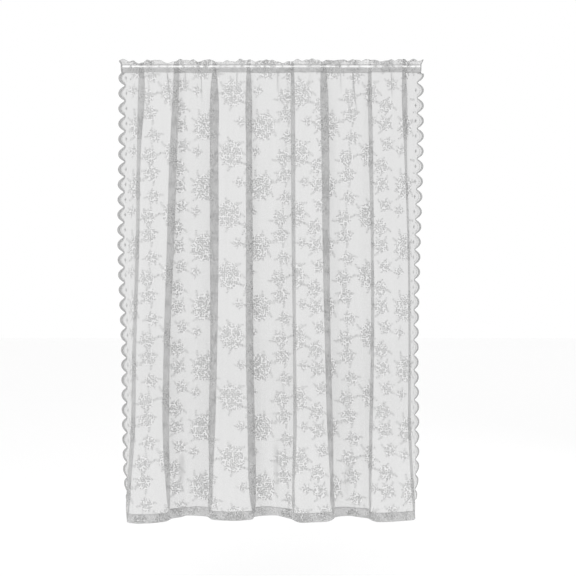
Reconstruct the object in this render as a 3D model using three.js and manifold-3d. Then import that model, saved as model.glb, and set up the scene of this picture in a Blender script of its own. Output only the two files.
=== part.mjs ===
// A lace curtain panel gathered on a slim rod.
// Millimetres. +X runs to the right, +Y away from the viewer and +Z up.
// The origin is the middle of the rod's axis. A drop is a distance below that axis.

import * as THREE from "three";
import Module from "manifold-3d";

const wasm = await Module();
wasm.setup();

// Cloth
const CLOTH_THICKNESS = 1.2;
const HEM_THICKNESS = 2.8;
const HEM_HEIGHT = 32;
const HEM_STEP = 0.8;
const PANEL_DROP = 1558;

// Rod
const ROD_DIAMETER = 10;
const ROD_LEFT = -515;
const ROD_RIGHT = 514;
const ROD_CLEARANCE = 0.8;

// Pocket and the ruffled header that stands above it
const POCKET_DROP = 20;
const POCKET_HALF_WIDTH = 517;
const SEAM_HALF_THICKNESS = 4.7;
const HEADER_HEIGHT = 26;
const HEADER_FLARE = 8;
const HEADER_HALF_THICKNESS = 1.3;
const SHEET_TUCK = 5;

// The cloth between two folds lies nearer or farther than the rod, most of all at the hem.
// hem is how far behind the rod's axis its left and right sides hang there.
const FLATS = [
  { name: "left border", hem: [2, 2] },
  { name: "first front", hem: [-57, -47] },
  { name: "first back", hem: [15, 38] },
  { name: "second front", hem: [-24, -19] },
  { name: "second back", hem: [38, 8] },
  { name: "third front", hem: [-47, -30] },
  { name: "third back", hem: [32, 15] },
  { name: "fourth front", hem: [-39, -21] },
  { name: "right border", hem: [2, 2] },
];

// Every table below gives its sizes at these drops.
const DROPS = [20, 85, 270, 630, 975, 1285, 1440, 1520, 1558];

// One row for each fold between two flats. x is its middle, and lap is how far
// the cloth doubles back under itself; a negative lap is a wall that leans open.
// opens is how much farther its turn reaches into the flat before it and the one after it
// where it eases out at the hem.
const FOLDS = [
  {
    x: [-446, -446, -453, -458, -468, -474, -485, -489, -491],
    lap: [18, 22, 12, 9, 8, 10, 8, 5, -7],
    opens: [22, 16],
  },
  {
    x: [-326, -328, -335, -346, -358, -360, -354, -350, -348],
    lap: [20, 22, 28, 28, 25, 26, 19, 8, -16],
    opens: [19, 10],
  },
  {
    x: [-195, -195, -196, -196, -198, -205, -208, -211, -213],
    lap: [15, 27, 28, 28, 22, 19, 9, 7, -20],
    opens: [54, 70],
  },
  {
    x: [-77, -77, -76, -75, -74, -68, -65, -62, -60],
    lap: [15, 22, 22, 25, 27, 27, 26, 15, -8],
    opens: [19, 54],
  },
  {
    x: [74, 75, 76, 78, 81, 82, 77, 78, 78],
    lap: [12, 15, 15, 13, 11, 12, 8, 5, -16],
    opens: [0, 0],
  },
  {
    x: [181, 183, 187, 190, 196, 205, 210, 213, 217],
    lap: [20, 26, 26, 23, 19, 18, 10, 9, -14],
    opens: [0, 35],
  },
  {
    x: [341, 341, 344, 349, 349, 343, 341, 341, 341],
    lap: [12, 14, 16, 12, 14, 14, 11, 6, -14],
    opens: [10, 2],
  },
  {
    x: [459, 460, 463, 474, 477, 478, 487, 492, 494],
    lap: [12, 18, 9, 6, 6, 8, 7, 5, -7],
    opens: [10, 6],
  },
];

// The free side edges, measured at the scallops' tips.
const LEFT_EDGE = [-527, -528, -530, -535, -525, -523, -518, -509, -503];
const RIGHT_EDGE = [528, 528, 529, 520, 515, 519, 517, 509, 502];
const EDGE_BEHIND = [2, 4, 10, 20, 30, 41, 46, 47, 47];

// How the folds open from the pocket to the hem
const GATHER_DEPTH = 3.5;
const SPREAD = [0, 0.12, 0.33, 0.5, 0.62, 0.71, 0.8, 0.84, 0.86];
const FLAT_SWELL = [0.02, 0.03, 0.045, 0.075, 0.105, 0.14, 0.12, 0.07, 0.05];
const TURN_REACH = [8, 9, 11, 12, 13, 15, 16, 16, 16];
const HEM_OPENING = [0, 0, 0, 0, 0, 0, 0.15, 0.6, 1];
const BORDER_REACH = 0.3;
const BORDER_SWELL = 0.7;
const BORDER_BEHIND = 0.5;

// Scallops along both side edges
const SCALLOP_PITCH = 52.35;
const SCALLOP_DEPTH = 23.5;
const SCALLOP_ROUNDNESS = 2.2;
const SCALLOP_STEPS = 5;
const LEFT_NOTCH_DROP = 63;
const RIGHT_NOTCH_DROP = 53;
const SCALLOPS_END = 1505;
const PLAIN_EDGE_INSET = 20;

// The header is pulled down where gathers bunch together.
const HEADER_DIPS = [
  { x: -452, fall: 11, width: 26 },
  { x: -356, fall: 12, width: 22 },
  { x: -252, fall: 5, width: 12 },
  { x: -174, fall: 11, width: 18 },
  { x: -125, fall: 7, width: 14 },
  { x: -52, fall: 6, width: 14 },
  { x: 38, fall: 10, width: 20 },
  { x: 74, fall: 6, width: 12 },
  { x: 181, fall: 5, width: 16 },
  { x: 389, fall: 5, width: 24 },
];
const HEADER_SWAY = 5;
const GATHER_RIPPLE = 1.6;
const FOLD_BUNCH = 2;
const FOLD_BUNCH_WIDTH = 14;

// Steps of the sheet and of the pocket
const SHEET_ROWS = 15;
const POCKET_STEPS = 64;

const CLOTH_COLOUR = 0xd9d9d7;
const ROD_COLOUR = 0xf4f4f2;

// A closed skin of triangles, built point by point.
class Skin {
  points = [];
  triangles = [];

  point(vector) {
    this.points.push(vector.x, vector.y, vector.z);
    return this.points.length / 3 - 1;
  }

  quad(a, b, c, d) {
    this.triangles.push(a, b, c, a, c, d);
  }

  // Joins two edges whose points lie at different drops. Both run from top to bottom.
  zip(left, right) {
    let i = 0;
    let j = 0;
    while (i < left.length - 1 || j < right.length - 1) {
      const leftNext = i < left.length - 1 ? left[i + 1].drop : Infinity;
      const rightNext = j < right.length - 1 ? right[j + 1].drop : Infinity;
      if (leftNext <= rightNext) {
        this.triangles.push(left[i].id, left[i + 1].id, right[j].id);
        i += 1;
      } else {
        this.triangles.push(left[i].id, right[j + 1].id, right[j].id);
        j += 1;
      }
    }
  }

  solid() {
    return new wasm.Manifold(
      new wasm.Mesh({
        numProp: 3,
        vertProperties: new Float32Array(this.points),
        triVerts: new Uint32Array(this.triangles),
      }),
    );
  }
}

function atDrop(values, drop) {
  const curve = new THREE.CubicInterpolant(DROPS, values, 1, new Float32Array(1));
  const inside = THREE.MathUtils.clamp(drop, DROPS[0], DROPS[DROPS.length - 1]);
  return curve.evaluate(inside)[0];
}

function bump(distance, width) {
  return Math.exp(-((distance / width) ** 2));
}

// How far behind the rod's axis the left and right sides of a flat hang at a drop.
function flatDepths(flat, drop) {
  const spread = atDrop(SPREAD, drop);
  return flat.hem.map((behind) => Math.sign(behind) * GATHER_DEPTH + behind * spread);
}

// The level line of the cloth at a drop: an S turn at each fold, a soft swell at each flat.
// The outer part of a border keeps behind the rod, so its scallops face the viewer.
function section(drop) {
  const at = (x, y) => new THREE.Vector3(x, y, -drop);
  const behind = atDrop(EDGE_BEHIND, drop);
  const turns = FOLDS.map((fold) => {
    const x = atDrop(fold.x, drop);
    const lap = atDrop(fold.lap, drop);
    const opening = atDrop(HEM_OPENING, drop);
    const [before, after] = fold.opens.map((size) => atDrop(TURN_REACH, drop) + size * opening);
    return { x, right: x + lap / 2, left: x - lap / 2, before, after };
  });
  const leftEdge = atDrop(LEFT_EDGE, drop);
  const rightEdge = atDrop(RIGHT_EDGE, drop);
  const last = FLATS.length - 1;
  const points = [];
  FLATS.forEach((flat, i) => {
    const [isLeft, isRight] = [i === 0, i === last];
    const [leftDepth, rightDepth] = flatDepths(flat, drop);
    const depth = (leftDepth + rightDepth) / 2;
    const starts = isLeft ? leftEdge : turns[i - 1].left;
    const ends = isRight ? rightEdge : turns[i].right;
    const borderReach = BORDER_REACH * Math.abs(ends - starts);
    const from = isLeft ? starts : starts + (isRight ? borderReach : turns[i - 1].after);
    const to = isRight ? ends : ends - (isLeft ? borderReach : turns[i].before);
    const swellShare = isLeft ? BORDER_SWELL : isRight ? 1 - BORDER_SWELL : 0.5;
    const swell = isLeft || isRight ? BORDER_BEHIND * behind : depth * atDrop(FLAT_SWELL, drop);
    points.push(at(from, leftDepth + (isLeft ? behind : 0)));
    points.push(at(from + swellShare * (to - from), depth + swell));
    points.push(at(to, rightDepth + (isRight ? behind : 0)));
    if (isRight) return;
    const step = flatDepths(FLATS[i + 1], drop)[0] - rightDepth;
    points.push(at(turns[i].right, rightDepth + step / 4));
    points.push(at(turns[i].x, rightDepth + step / 2));
    points.push(at(turns[i].left, rightDepth + (3 * step) / 4));
  });
  return new THREE.CatmullRomCurve3(points, false, "centripetal");
}

// Where the sheet's columns stand, as shares of a section.
function columnShares() {
  const spans = FLATS.length * 3 + FOLDS.length * 3 - 1;
  const shares = [];
  for (let span = 1; span < spans - 1; span += 1) {
    const place = span % 6;
    const steps = place === 3 || place === 4 ? 1 : 2;
    for (let k = 0; k < steps; k += 1) shares.push((span + k / steps) / spans);
  }
  shares.push((spans - 1) / spans);
  return { shares, spans };
}

function thicknessAt(drop) {
  const hemTop = PANEL_DROP - HEM_HEIGHT;
  return drop > hemTop + HEM_STEP / 2 ? HEM_THICKNESS : CLOTH_THICKNESS;
}

// The two faces of the cloth at one place of a section.
function faces(curve, share, drop) {
  const middle = curve.getPoint(share);
  const along = curve.getTangent(share);
  const toFront = new THREE.Vector3(along.y, -along.x, 0).normalize();
  const half = thicknessAt(drop) / 2;
  return {
    front: middle.clone().addScaledVector(toFront, half),
    back: middle.clone().addScaledVector(toFront, -half),
  };
}

function scallopInset(drop, notchDrop) {
  if (drop > SCALLOPS_END) return PLAIN_EDGE_INSET;
  const turns = (drop - notchDrop) / SCALLOP_PITCH;
  const across = 2 * Math.abs(turns - Math.floor(turns) - 0.5);
  return SCALLOP_DEPTH * across ** SCALLOP_ROUNDNESS;
}

function edgeDrops(rows, notchDrop) {
  const drops = new Set([rows[0], ...rows.filter((drop) => drop > SCALLOPS_END)]);
  const step = SCALLOP_PITCH / SCALLOP_STEPS;
  const first = Math.ceil((rows[0] - notchDrop) / step);
  for (let k = first; notchDrop + k * step < SCALLOPS_END; k += 1) {
    if (notchDrop + k * step - rows[0] > 2) drops.add(notchDrop + k * step);
  }
  return [...drops].sort((a, b) => a - b);
}

// One scalloped border: at each drop a point on the free edge and one on the first column.
function border(skin, rows, notchDrop, shareAt, columnShare) {
  return edgeDrops(rows, notchDrop).map((drop) => {
    const curve = section(drop);
    const rim = faces(curve, shareAt(curve, scallopInset(drop, notchDrop)), drop);
    const inner = faces(curve, columnShare, drop);
    return {
      drop,
      rim: { front: skin.point(rim.front), back: skin.point(rim.back) },
      inner: { front: skin.point(inner.front), back: skin.point(inner.back) },
    };
  });
}

// Faces between two neighbouring columns of points, a on the left and b on the right.
function weave(skin, a, b) {
  for (let i = 0; i < a.length - 1; i += 1) {
    skin.quad(a[i].front, a[i + 1].front, b[i + 1].front, b[i].front);
    skin.quad(a[i].back, b[i].back, b[i + 1].back, a[i + 1].back);
  }
}

// The hanging cloth with its scalloped sides and turned hem.
function hangingSheet() {
  const skin = new Skin();
  const hemTop = PANEL_DROP - HEM_HEIGHT;
  const top = POCKET_DROP - SHEET_TUCK;
  const rows = [];
  for (let i = 0; i < SHEET_ROWS; i += 1) {
    rows.push(top + ((hemTop - HEM_STEP / 2 - top) * i) / (SHEET_ROWS - 1));
  }
  rows.push(hemTop + HEM_STEP / 2 + 0.01, PANEL_DROP);
  const { shares, spans } = columnShares();

  const inside = shares.slice(1, -1).map((share) =>
    rows.map((drop) => {
      const { front, back } = faces(section(drop), share, drop);
      return { front: skin.point(front), back: skin.point(back) };
    }),
  );
  for (let j = 0; j < inside.length - 1; j += 1) weave(skin, inside[j], inside[j + 1]);

  const inset = (curve, end, next, size) =>
    size / curve.points[end].distanceTo(curve.points[next]) / spans;
  const left = border(
    skin,
    rows,
    LEFT_NOTCH_DROP,
    (curve, size) => inset(curve, 0, 1, size),
    shares[0],
  );
  const right = border(
    skin,
    rows,
    RIGHT_NOTCH_DROP,
    (curve, size) => 1 - inset(curve, spans, spans - 1, size),
    shares[shares.length - 1],
  );
  const rims = (edge) => edge.map((item) => item.rim);
  const inners = (edge) => edge.map((item) => item.inner);
  weave(skin, rims(left), inners(left));
  weave(skin, inners(right), rims(right));

  const fine = (edge, side) => edge.map((item) => ({ id: item.inner[side], drop: item.drop }));
  const coarse = (column, side) => column.map((item, i) => ({ id: item[side], drop: rows[i] }));
  const lastInside = inside[inside.length - 1];
  skin.zip(fine(left, "front"), coarse(inside[0], "front"));
  skin.zip(coarse(inside[0], "back"), fine(left, "back"));
  skin.zip(coarse(lastInside, "front"), fine(right, "front"));
  skin.zip(fine(right, "back"), coarse(lastInside, "back"));

  const leftRim = rims(left);
  const rightRim = rims(right);
  for (let i = 0; i < leftRim.length - 1; i += 1) {
    skin.quad(leftRim[i].front, leftRim[i].back, leftRim[i + 1].back, leftRim[i + 1].front);
  }
  for (let i = 0; i < rightRim.length - 1; i += 1) {
    skin.quad(rightRim[i].front, rightRim[i + 1].front, rightRim[i + 1].back, rightRim[i].back);
  }
  const across = (pick) => [
    pick(leftRim),
    pick(inners(left)),
    ...inside.map(pick),
    pick(inners(right)),
    pick(rightRim),
  ];
  const topLine = across((column) => column[0]);
  const bottomLine = across((column) => column[column.length - 1]);
  for (let j = 0; j < topLine.length - 1; j += 1) {
    const [a, b] = [topLine[j], topLine[j + 1]];
    const [c, d] = [bottomLine[j], bottomLine[j + 1]];
    skin.quad(a.front, b.front, b.back, a.back);
    skin.quad(c.front, c.back, d.back, d.front);
  }
  return skin.solid();
}

// How far the gathers push the pocket's cloth off the rod at x.
function pocketRipple(x) {
  const gathers = GATHER_RIPPLE * (1 + Math.sin(x / 8.7 + 1.9 * Math.sin(x / 47)));
  const bunches = FOLDS.map((fold) => FOLD_BUNCH * bump(x - fold.x[0], FOLD_BUNCH_WIDTH));
  return gathers / 2 + bunches.reduce((sum, value) => sum + value, 0);
}

function headerTop(x) {
  const falls = HEADER_DIPS.map((dip) => dip.fall * bump(x - dip.x, dip.width));
  return HEADER_HEIGHT - falls.reduce((sum, value) => sum + value, 0);
}

function headerSway(x) {
  return HEADER_SWAY * Math.sin(x / 8.1 + 1.7 * Math.sin(x / 39));
}

// The upright section of pocket and header at x: the cloth's outside, and the rod's tunnel.
function pocketSection(x) {
  const ripple = pocketRipple(x);
  const top = headerTop(x);
  const sway = headerSway(x);
  const tunnel = ROD_DIAMETER / 2 + ROD_CLEARANCE;
  const wall = tunnel + CLOTH_THICKNESS;
  const slope = Math.SQRT1_2;
  const half = [
    { z: -POCKET_DROP, out: SEAM_HALF_THICKNESS, lean: 0 },
    { z: 7 - POCKET_DROP, out: SEAM_HALF_THICKNESS + 0.4, lean: 0 },
    { z: -4, out: wall + ripple, lean: 0 },
    { z: 1, out: wall + ripple, lean: 0 },
    { z: wall * slope, out: wall * slope + ripple / 2, lean: 0 },
    { z: wall + 1.2, out: HEADER_HALF_THICKNESS + 0.6, lean: 0 },
    { z: (wall + top) / 2, out: HEADER_HALF_THICKNESS, lean: 0.4 * sway },
    { z: top, out: HEADER_HALF_THICKNESS, lean: sway },
  ];
  const outside = [
    ...half.map(({ z, out, lean }) => ({ y: lean - out, z })),
    ...half.toReversed().map(({ z, out, lean }) => ({ y: lean + out, z })),
  ];
  const halfTunnel = [
    { z: -9, out: 3.2 },
    { z: -4, out: tunnel + ripple },
    { z: 0, out: tunnel + ripple },
    { z: tunnel * slope, out: tunnel * slope + ripple / 2 },
  ];
  const inside = [
    { y: 0, z: -12 },
    ...halfTunnel.map(({ z, out }) => ({ y: -out, z })),
    { y: 0, z: tunnel },
    ...halfTunnel.toReversed().map(({ z, out }) => ({ y: out, z })),
  ];
  return { outside, inside };
}

// The ends of pocket and header flare outwards towards the top.
function flaredX(share, z) {
  const flare = HEADER_FLARE * THREE.MathUtils.smoothstep(z, 2, HEADER_HEIGHT);
  return share * (POCKET_HALF_WIDTH + flare);
}

function pocketAndHeader() {
  const skin = new Skin();
  const rings = [];
  for (let i = 0; i <= POCKET_STEPS; i += 1) {
    const share = (2 * i) / POCKET_STEPS - 1;
    const shape = pocketSection(share * POCKET_HALF_WIDTH);
    const ring = (list) =>
      list.map(({ y, z }) => skin.point(new THREE.Vector3(flaredX(share, z), y, z)));
    rings.push({ shape, outside: ring(shape.outside), inside: ring(shape.inside) });
  }
  for (let i = 0; i < POCKET_STEPS; i += 1) {
    const [here, next] = [rings[i], rings[i + 1]];
    here.outside.forEach((id, k) => {
      const after = (k + 1) % here.outside.length;
      skin.quad(id, next.outside[k], next.outside[after], here.outside[after]);
    });
    here.inside.forEach((id, k) => {
      const after = (k + 1) % here.inside.length;
      skin.quad(id, here.inside[after], next.inside[after], next.inside[k]);
    });
  }
  const cap = (ring, flipped) => {
    const flat = (list) => list.map(({ y, z }) => new THREE.Vector2(y, z));
    const outer = flat(ring.shape.outside);
    const inner = flat(ring.shape.inside);
    const ids = [...ring.outside, ...ring.inside];
    THREE.ShapeUtils.triangulateShape(outer, [inner]).forEach(([a, b, c]) => {
      skin.triangles.push(...(flipped ? [ids[a], ids[b], ids[c]] : [ids[a], ids[c], ids[b]]));
    });
  };
  cap(rings[0], false);
  cap(rings[POCKET_STEPS], true);
  return skin.solid();
}

function geometryOf(solid) {
  const mesh = solid.getMesh();
  const geometry = new THREE.BufferGeometry();
  geometry.setAttribute("position", new THREE.BufferAttribute(mesh.vertProperties, 3));
  geometry.setIndex(new THREE.BufferAttribute(mesh.triVerts, 1));
  geometry.computeVertexNormals();
  return geometry;
}

function lacePanel() {
  const material = new THREE.MeshStandardMaterial({
    color: CLOTH_COLOUR,
    roughness: 0.9,
    metalness: 0,
  });
  const solid = hangingSheet().add(pocketAndHeader());
  const panel = new THREE.Mesh(geometryOf(solid), material);
  panel.name = "lace_panel";
  return panel;
}

function curtainRod() {
  const material = new THREE.MeshStandardMaterial({
    color: ROD_COLOUR,
    roughness: 0.35,
    metalness: 0,
  });
  const length = ROD_RIGHT - ROD_LEFT;
  const radius = ROD_DIAMETER / 2;
  const rod = new THREE.Mesh(new THREE.CylinderGeometry(radius, radius, length, 24), material);
  rod.rotation.z = Math.PI / 2;
  rod.position.x = (ROD_LEFT + ROD_RIGHT) / 2;
  rod.name = "curtain_rod";
  return rod;
}

const curtain = new THREE.Group();
curtain.add(lacePanel(), curtainRod());

export default curtain;
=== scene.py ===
# A sheer lace curtain gathered on a slim white rod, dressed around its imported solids.
import math

import bpy
import numpy as np
from bpy.props import FloatProperty, IntProperty, PointerProperty
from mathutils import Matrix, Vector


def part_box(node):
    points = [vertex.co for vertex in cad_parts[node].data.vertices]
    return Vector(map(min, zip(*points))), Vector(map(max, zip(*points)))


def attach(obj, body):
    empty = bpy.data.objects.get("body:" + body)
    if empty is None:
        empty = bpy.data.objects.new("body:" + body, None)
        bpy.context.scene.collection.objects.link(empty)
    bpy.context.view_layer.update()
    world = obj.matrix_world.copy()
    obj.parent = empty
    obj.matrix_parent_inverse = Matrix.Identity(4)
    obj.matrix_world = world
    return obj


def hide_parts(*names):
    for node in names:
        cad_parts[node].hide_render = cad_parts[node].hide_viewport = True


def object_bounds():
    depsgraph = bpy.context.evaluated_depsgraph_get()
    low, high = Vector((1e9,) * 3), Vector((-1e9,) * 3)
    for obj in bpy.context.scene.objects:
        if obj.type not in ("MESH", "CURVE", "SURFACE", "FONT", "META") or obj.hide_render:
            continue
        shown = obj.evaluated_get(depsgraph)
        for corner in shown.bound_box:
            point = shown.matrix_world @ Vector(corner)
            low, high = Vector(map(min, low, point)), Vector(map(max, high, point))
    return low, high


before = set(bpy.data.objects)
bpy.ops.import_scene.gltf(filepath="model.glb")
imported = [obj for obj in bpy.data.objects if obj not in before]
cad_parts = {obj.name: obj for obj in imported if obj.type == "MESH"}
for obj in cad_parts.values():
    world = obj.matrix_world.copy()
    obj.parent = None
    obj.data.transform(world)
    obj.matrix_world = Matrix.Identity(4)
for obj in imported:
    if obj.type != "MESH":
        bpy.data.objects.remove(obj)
CAD_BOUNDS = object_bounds()

bl_info = {
    "name": "Lace Curtain",
    "version": (1, 0, 0),
    "blender": (4, 5, 0),
    "location": "3D View > Sidebar > Curtain",
    "description": "Builds a scalloped lace panel in hanging folds on a rod",
    "category": "Add Mesh",
}

# Sizes in the tables are millimetres; pieces are built in metres.
MM = 0.001

# The folds, as in the curtain's solid. x is the middle of a fold, lap how far the cloth
# doubles back under itself, and opens how much farther its turn reaches at the hem into the
# flats before and after it.
DROPS = [20, 85, 270, 630, 975, 1285, 1440, 1520, 1558]
FOLDS = [
    {
        "x": [-446, -446, -453, -458, -468, -474, -485, -489, -491],
        "lap": [18, 22, 12, 9, 8, 10, 8, 5, -7],
        "opens": (22, 16),
    },
    {
        "x": [-326, -328, -335, -346, -358, -360, -354, -350, -348],
        "lap": [20, 22, 28, 28, 25, 26, 19, 8, -16],
        "opens": (19, 10),
    },
    {
        "x": [-195, -195, -196, -196, -198, -205, -208, -211, -213],
        "lap": [15, 27, 28, 28, 22, 19, 9, 7, -20],
        "opens": (54, 70),
    },
    {
        "x": [-77, -77, -76, -75, -74, -68, -65, -62, -60],
        "lap": [15, 22, 22, 25, 27, 27, 26, 15, -8],
        "opens": (19, 54),
    },
    {
        "x": [74, 75, 76, 78, 81, 82, 77, 78, 78],
        "lap": [12, 15, 15, 13, 11, 12, 8, 5, -16],
        "opens": (0, 0),
    },
    {
        "x": [181, 183, 187, 190, 196, 205, 210, 213, 217],
        "lap": [20, 26, 26, 23, 19, 18, 10, 9, -14],
        "opens": (0, 35),
    },
    {
        "x": [341, 341, 344, 349, 349, 343, 341, 341, 341],
        "lap": [12, 14, 16, 12, 14, 14, 11, 6, -14],
        "opens": (10, 2),
    },
    {
        "x": [459, 460, 463, 474, 477, 478, 487, 492, 494],
        "lap": [12, 18, 9, 6, 6, 8, 7, 5, -7],
        "opens": (10, 6),
    },
]

# How far behind the rod the left and right sides of each flat hang at the hem
FLAT_HEMS = [
    (2, 2), (-57, -47), (15, 38), (-24, -19), (38, 8),
    (-47, -30), (32, 15), (-39, -21), (2, 2),
]
LEFT_EDGE = [-527, -528, -530, -535, -525, -523, -518, -509, -503]
RIGHT_EDGE = [528, 528, 529, 520, 515, 519, 517, 509, 502]
EDGE_BEHIND = [2, 4, 10, 20, 30, 41, 46, 47, 47]
GATHER_DEPTH = 3.5
SPREAD = [0, 0.12, 0.33, 0.5, 0.62, 0.71, 0.8, 0.84, 0.86]
FLAT_SWELL = [0.02, 0.03, 0.045, 0.075, 0.105, 0.14, 0.12, 0.07, 0.05]
TURN_REACH = [8, 9, 11, 12, 13, 15, 16, 16, 16]
HEM_OPENING = [0, 0, 0, 0, 0, 0, 0.15, 0.6, 1]
BORDER_REACH = 0.3
BORDER_SWELL = 0.7
BORDER_BEHIND = 0.5

# Scallops. A notch of each side edge lies at its notch drop and every pitch from there.
SCALLOP_PITCH = 52.35
SCALLOP_DEPTH = 23.5
SCALLOP_ROUNDNESS = 2.2
LEFT_NOTCH_DROP = 63.0
RIGHT_NOTCH_DROP = 53.0
SCALLOPS_END = 1505.0
PLAIN_EDGE_INSET = 20.0
SIDES = ((LEFT_NOTCH_DROP, False), (RIGHT_NOTCH_DROP, True))

# The header's plain ends: how far inside the scallops' tips they lie, and how far they flare
# out from a little above the rod's height
HEADER_INSET = 10.0
HEADER_FLARE = 8.0
FLARE_START = 4.0

# The cloth laid flat: its width, and its length from the raw edge behind the pocket, over
# the header, down to the hem and up again twice behind it. Zero is the rod's height in front.
FLAT_WIDTH = 1524.0
SEAM_DROP = 20.0
HEADER_SEAM = 9.0
HEADER_HEIGHT = 26.0
PANEL_DROP = 1558.0
HEM_HEIGHT = 32.0
HEM_TURN = 28.0
HEM_TOP = PANEL_DROP - HEM_HEIGHT
ROD_BACK = -2 * HEADER_HEIGHT
BACK_TOP = ROD_BACK - SEAM_DROP
HEM_INSIDE = PANEL_DROP + HEM_HEIGHT
CLOTH_END = HEM_INSIDE + HEM_TURN

# The hem's rows in each layer, how far a turned layer starts from its fold, and how far
# behind the front layer its lower fold and its two turns lie
HEM_ROWS = 6
HEM_EASE = 1.5
HEM_FOLD_BEHIND = 0.4
HEM_OUTER_BEHIND = 1.0
HEM_INNER_BEHIND = 0.5

# The pocket's rows of cloth keep at least this far from the rod's axis
ROD_ROOM = 6.3

# Half the gap between the pocket's front and back, and how much of the folds' depth is left
POCKET_SHAPE = [
    {"z": -20.0, "gap": 0.5, "folds": 1.0},
    {"z": -17.0, "gap": 1.6, "folds": 0.95},
    {"z": -13.0, "gap": 4.4, "folds": 0.8},
    {"z": -9.0, "gap": 7.0, "folds": 0.6},
    {"z": -5.0, "gap": 8.2, "folds": 0.5},
    {"z": -1.5, "gap": 8.3, "folds": 0.5},
    {"z": 2.0, "gap": 8.1, "folds": 0.5},
    {"z": 5.0, "gap": 6.8, "folds": 0.5},
    {"z": 7.5, "gap": 4.0, "folds": 0.55},
    {"z": 9.5, "gap": 1.6, "folds": 0.6},
    {"z": 13.0, "gap": 1.5, "folds": 0.6},
    {"z": 17.0, "gap": 1.8, "folds": 0.6},
    {"z": 20.5, "gap": 1.7, "folds": 0.6},
    {"z": 23.5, "gap": 1.3, "folds": 0.6},
    {"z": 25.3, "gap": 0.7, "folds": 0.6},
]
HEADER_DIPS = [
    {"x": -452, "fall": 11, "width": 26},
    {"x": -356, "fall": 12, "width": 22},
    {"x": -252, "fall": 5, "width": 12},
    {"x": -174, "fall": 11, "width": 18},
    {"x": -125, "fall": 7, "width": 14},
    {"x": -52, "fall": 6, "width": 14},
    {"x": 38, "fall": 10, "width": 20},
    {"x": 74, "fall": 6, "width": 12},
    {"x": 181, "fall": 5, "width": 16},
    {"x": 389, "fall": 5, "width": 24},
]

# How far the header sways to the front and back, how much of the folds' depth its top keeps,
# how high its fine frill stands, and how far under the top the frill's middle lies
HEADER_SWAY = 5.0
HEADER_FOLDS = 0.6
HEADER_FRILL = 1.8
FRILL_MIDDLE = 0.7

# Uneven waves along the rod: the length of a step, how far it wanders, and over what length
SWAY_WAVE = (8.1, 1.7, 39)
FRILL_WAVES = [(1.0, (4.3, 1.3, 23)), (0.7, (7.1, 2, 61))]
BUNCH_WAVE = (6.1, 2.2, 37)

# Bunches on the rod: the margin of a fold, how strong dips and small gathers are and where a
# small one starts on its wave, and how much the header takes off folds and off the others
FOLD_MARGIN = 3.0
DIP_BUNCH = 0.5
DIP_BUNCH_WIDTH = 5.0
SMALL_BUNCH = 0.5
SMALL_BUNCH_START = 0.75
FOLD_LOSS = 0.3
BUNCH_LOSS = 0.7

# Narrow pleats pinched by the pocket's seam. Each drifts sideways and thins out as it falls.
PLEATS = [
    {"x": -357, "drift": 14, "to": 135, "width": 4.6},
    {"x": 283, "drift": 15, "to": 160, "width": 4.8},
    {"x": -117, "drift": -2, "to": 84, "width": 3.6},
    {"x": -296, "drift": 3, "to": 84, "width": 3.0},
    {"x": -241, "drift": 2, "to": 120, "width": 2.6},
    {"x": 241, "drift": 1, "to": 88, "width": 2.4},
    {"x": 22, "drift": 3, "to": 96, "width": 2.2},
    {"x": 414, "drift": 2, "to": 110, "width": 2.4},
]

# Soft creases. Each drifts sideways from its first drop to its last. Its shade is painted shade:
# extra cover that darkens the net along the crease.
CREASES = [
    {"x": -356, "drift": 7, "from": 20, "to": 120, "width": 6.0, "rise": 3.0, "shade": 0.0},
    {"x": 286, "drift": 11, "from": 20, "to": 150, "width": 6.0, "rise": 3.0, "shade": 0.0},
    {"x": -117, "drift": -3, "from": 20, "to": 85, "width": 6.0, "rise": 2.4, "shade": 0.0},
    {"x": -241, "drift": 2, "from": 20, "to": 140, "width": 6.0, "rise": 2.2, "shade": 0.0},
    {"x": -300, "drift": 5, "from": 20, "to": 70, "width": 4.5, "rise": -2.0, "shade": 0.4},
    {"x": 22, "drift": 5, "from": 20, "to": 110, "width": 4.5, "rise": 2.0, "shade": 0.5},
    {"x": 135, "drift": -6, "from": 20, "to": 90, "width": 4.5, "rise": -2.0, "shade": 0.4},
    {"x": 416, "drift": 3, "from": 20, "to": 130, "width": 4.0, "rise": 2.2, "shade": 0.5},
    {"x": -310, "drift": -4, "from": 1330, "to": 1480, "width": 9.0, "rise": 4.0, "shade": 0.9},
    {"x": -243, "drift": 5, "from": 1400, "to": 1510, "width": 9.0, "rise": -4.0, "shade": 0.8},
    {"x": 17, "drift": 3, "from": 1290, "to": 1515, "width": 7.0, "rise": 3.5, "shade": 0.8},
    {"x": 268, "drift": -6, "from": 1360, "to": 1500, "width": 9.0, "rise": -3.0, "shade": 0.6},
    {"x": -464, "drift": -6, "from": 560, "to": 900, "width": 7.0, "rise": 0.0, "shade": 0.4},
]

# Shares of a crease's length over which it grows and fades
CREASE_GROWS = (-0.02, 0.2)
CREASE_FADES = (0.45, 1.0)

# How strongly threads crowd at a fold's turns, how wide, and where the turns open at the hem
TURN_CROWDING = 0.4
TURN_CROWDING_WIDTH = 0.35
TURNS_OPEN = (1500, 1540)

# Soft ripples. They lean to one side and back as they fall, and are lower above and behind
# the rod.
RIPPLES = [
    {"length": 27.0, "rise": 0.55, "fades": 120.0, "phase": 0.4},
    {"length": 43.0, "rise": 0.8, "fades": 200.0, "phase": 2.1},
    {"length": 71.0, "rise": 1.0, "fades": 500.0, "phase": 4.4},
    {"length": 118.0, "rise": 1.2, "fades": 4000.0, "phase": 1.3},
]
RIPPLE_LEAN = 0.35
RIPPLE_LEAN_STEP = 310
BACK_RIPPLE = 0.6

# Points of the level line from one fold to the next, and the spans between all its points
FOLD_POINTS = 6
SPAN_COUNT = FOLD_POINTS * len(FOLDS) + 2

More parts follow.
